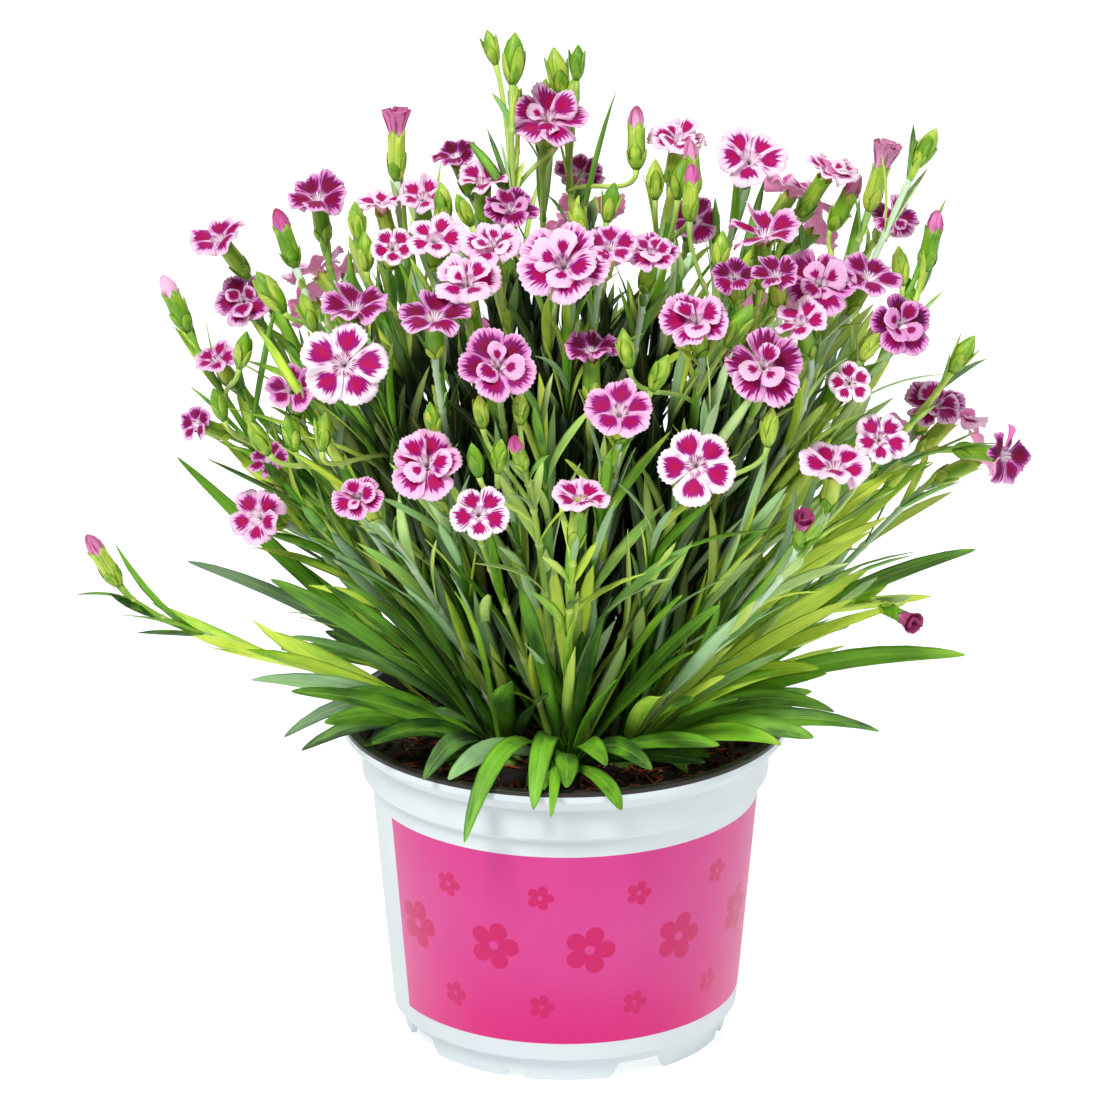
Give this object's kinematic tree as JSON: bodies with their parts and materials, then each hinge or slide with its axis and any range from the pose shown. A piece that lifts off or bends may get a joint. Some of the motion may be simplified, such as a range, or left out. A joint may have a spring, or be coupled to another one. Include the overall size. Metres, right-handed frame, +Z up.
{
  "type": "potted dianthus plant",
  "caption": "Bushy pot carnation in full flower: pink toothed blooms with dark eyes on upright leafy stems, rooted in peat in a round plastic nursery pot.",
  "frame": {"origin": "on the ground under the middle of the pot's foot", "axes": "+Z up, -Y to the front, where the most blooms face, +X to the right as seen from the front"},
  "size_m": [0.2513, 0.1676, 0.2754],
  "materials": {
    "pot": "gloss",
    "soil": "matte",
    "green": "satin",
    "petals": "matte"
  },
  "bodies": {
    "root": {"pot": "pot", "soil": "soil", "tuft_01": "green", "tuft_02": "green", "tuft_03": "green", "tuft_04": "green", "tuft_05": "green", "tuft_06": "green", "tuft_07": "green", "tuft_08": "green", "bloom_01": "petals", "bloom_02": "petals", "bloom_03": "petals", "bloom_04": "petals", "bloom_05": "petals", "bloom_06": "petals", "bloom_07": "petals", "bloom_08": "petals", "bloom_09": "petals", "bloom_10": "petals", "bloom_11": "petals", "bloom_12": "petals", "bloom_13": "petals", "bloom_14": "petals", "bloom_15": "petals", "bloom_16": "petals", "bloom_17": "petals", "bloom_18": "petals", "bloom_19": "petals", "bloom_20": "petals", "bloom_21": "petals", "bloom_22": "petals", "bloom_23": "petals", "bloom_24": "petals", "bloom_25": "petals", "bloom_26": "petals", "bloom_27": "petals", "bloom_28": "petals", "bloom_29": "petals", "bloom_30": "petals", "bloom_31": "petals", "bloom_32": "petals", "bloom_33": "petals", "bloom_34": "petals", "bloom_35": "petals", "bloom_36": "petals", "bloom_37": "petals", "bloom_38": "petals", "bloom_39": "petals", "bloom_40": "petals", "bloom_41": "petals", "bloom_42": "petals", "bloom_43": "petals", "bloom_44": "petals", "bloom_45": "petals", "bloom_46": "petals", "bloom_47": "petals", "bloom_48": "petals"}
  },
  "joints": []
}
